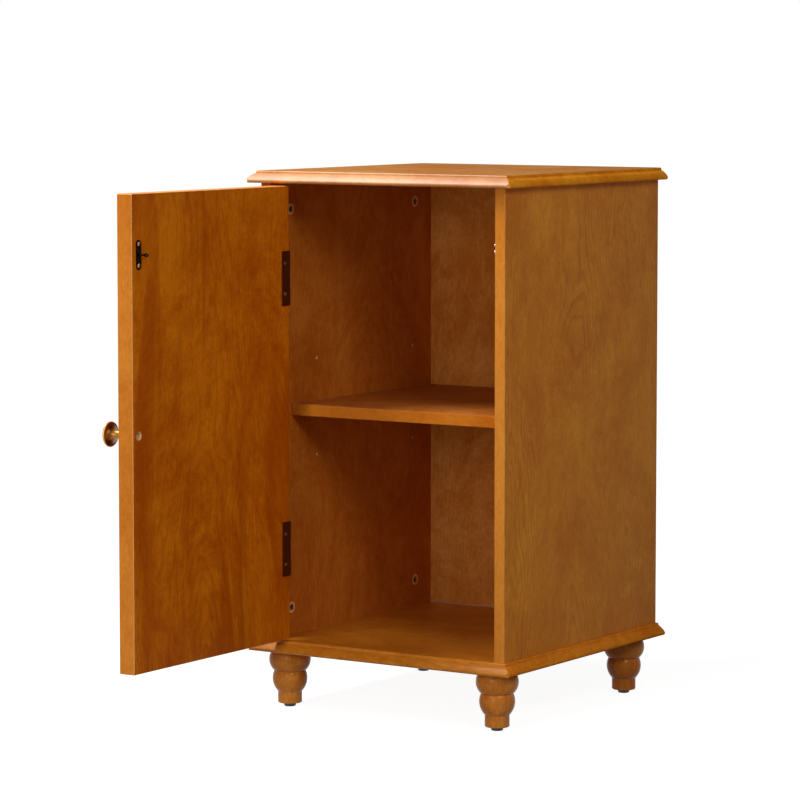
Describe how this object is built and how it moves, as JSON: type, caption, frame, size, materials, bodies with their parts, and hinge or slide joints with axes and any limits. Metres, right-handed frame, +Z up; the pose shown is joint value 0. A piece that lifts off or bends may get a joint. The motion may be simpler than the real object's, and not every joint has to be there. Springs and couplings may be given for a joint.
{
  "type": "floor cabinet",
  "caption": "Small free-standing floor cabinet with a moulded top and base, turned feet, an adjustable shelf and an inset hinged door with a knob and roller catch.",
  "frame": {"origin": "on the floor, at the middle of the whole object's box with the door open at 90 degrees", "axes": "+X to the cabinet's right seen from its front, +Y to its back, +Z up; the door opening faces -Y"},
  "size_m": [0.404, 0.742, 0.7104],
  "materials": {
    "top_wood": "satin lacquer",
    "base_wood": "satin lacquer",
    "left_panel_wood": "satin lacquer",
    "right_panel_wood": "satin lacquer",
    "back_wood": "satin lacquer",
    "shelf_wood": "satin lacquer",
    "door_wood": "satin lacquer",
    "foot_wood": "satin lacquer",
    "dowel_wood": "bare",
    "glide_plastic": "matt",
    "cam_metal": "plated",
    "bright_steel": "plated",
    "bronze_screw": "dark bronze plated",
    "dark_bronze": "dark bronze plated",
    "catch_steel": "dark bronze plated",
    "roller_metal": "dark bronze plated",
    "strike_bronze": "dark bronze plated",
    "knob_brass": "antique, rubbed"
  },
  "bodies": {
    "carcass": {"top_board": "top_wood", "base_board": "base_wood", "left_side_panel": "left_panel_wood", "right_side_panel": "right_panel_wood", "back_panel": "back_wood", "foot_front_left": "foot_wood", "glide_front_left": "glide_plastic", "foot_front_right": "foot_wood", "glide_front_right": "glide_plastic", "foot_back_left": "foot_wood", "glide_back_left": "glide_plastic", "foot_back_right": "foot_wood", "glide_back_right": "glide_plastic", "wood_dowels": "dowel_wood", "cam_locks": "cam_metal", "cam_bolts": "bright_steel", "shelf_pins": "bright_steel", "foot_bolts": "bright_steel", "foot_inserts": "bright_steel", "back_screws": "bronze_screw", "upper_hinge_cabinet_leaf": "dark_bronze", "upper_hinge_pin": "dark_bronze", "lower_hinge_cabinet_leaf": "dark_bronze", "lower_hinge_pin": "dark_bronze", "catch_bracket": "catch_steel", "arm_pivot_pins": "catch_steel", "hinge_cabinet_screws": "bronze_screw", "catch_screws": "bronze_screw"},
    "door": {"door_panel": "door_wood", "upper_hinge_door_leaf": "dark_bronze", "lower_hinge_door_leaf": "dark_bronze", "hinge_door_screws": "bronze_screw", "knob": "knob_brass", "knob_screw": "bright_steel", "strike_plate": "strike_bronze", "strike_screws": "bronze_screw", "strike_spear": "strike_bronze"},
    "loose_shelf": {"shelf": "shelf_wood"},
    "upper_arm": {"upper_roller_arm": "catch_steel", "upper_roller_axle": "catch_steel", "upper_arm_spring": "catch_steel"},
    "upper_wheel": {"upper_roller": "roller_metal"},
    "lower_arm": {"lower_roller_arm": "catch_steel", "lower_roller_axle": "catch_steel", "lower_arm_spring": "catch_steel"},
    "lower_wheel": {"lower_roller": "roller_metal"}
  },
  "joints": [
    {"name": "door_swing", "type": "hinge", "parent": "carcass", "child": "door", "pos_m": [-0.169, -0.028, 0.3934], "axis": [0, 0, 1], "range_deg": [-90, 90]},
    {"name": "shelf_lift", "type": "slide", "parent": "carcass", "child": "loose_shelf", "axis": [0, 0, 1], "range_m": [0, 0.075]},
    {"name": "upper_arm_swing", "type": "hinge", "parent": "carcass", "child": "upper_arm", "pos_m": [0.1632, 0.018, 0.6225], "axis": [-1, 0, 0], "range_deg": [0, 12], "stiffness_Nm_per_rad": 0.05, "springref_deg": -17.19},
    {"name": "upper_roller_spin", "type": "hinge", "parent": "upper_arm", "child": "upper_wheel", "pos_m": [0.157, 0.009, 0.6203], "axis": [1, 0, 0], "continuous": true},
    {"name": "lower_arm_swing", "type": "hinge", "parent": "carcass", "child": "lower_arm", "pos_m": [0.1632, 0.018, 0.6095], "axis": [1, 0, 0], "range_deg": [0, 12], "stiffness_Nm_per_rad": 0.05, "springref_deg": -17.19},
    {"name": "lower_roller_spin", "type": "hinge", "parent": "lower_arm", "child": "lower_wheel", "pos_m": [0.157, 0.009, 0.6117], "axis": [1, 0, 0], "continuous": true}
  ]
}
